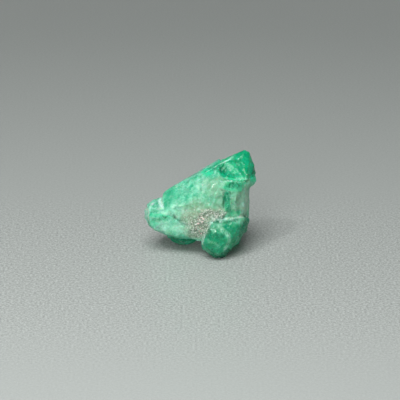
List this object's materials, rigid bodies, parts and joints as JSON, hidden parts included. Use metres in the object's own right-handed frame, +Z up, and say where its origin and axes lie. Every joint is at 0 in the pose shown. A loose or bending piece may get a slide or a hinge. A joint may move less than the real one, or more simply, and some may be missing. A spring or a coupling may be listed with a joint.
{
  "type": "raw emerald crystal",
  "caption": "Rough green beryl: a pale prism climbing to a clear green peak, with a dark rounded nodule at the front. Stands on its own small flats.",
  "frame": {"origin": "middle of the bounding box's bottom face, on the surface the stone stands on", "axes": "+X to the right along the stone's longest extent, +Y to its back, +Z up"},
  "size_m": [0.012, 0.0072, 0.0111],
  "materials": {
    "emerald": "glassy to waxy, zoned from clear emerald green to cloudy mint, with grainy grey-beige rock in the seam"
  },
  "bodies": {
    "root": {"emerald_crystal": "emerald"}
  },
  "joints": []
}
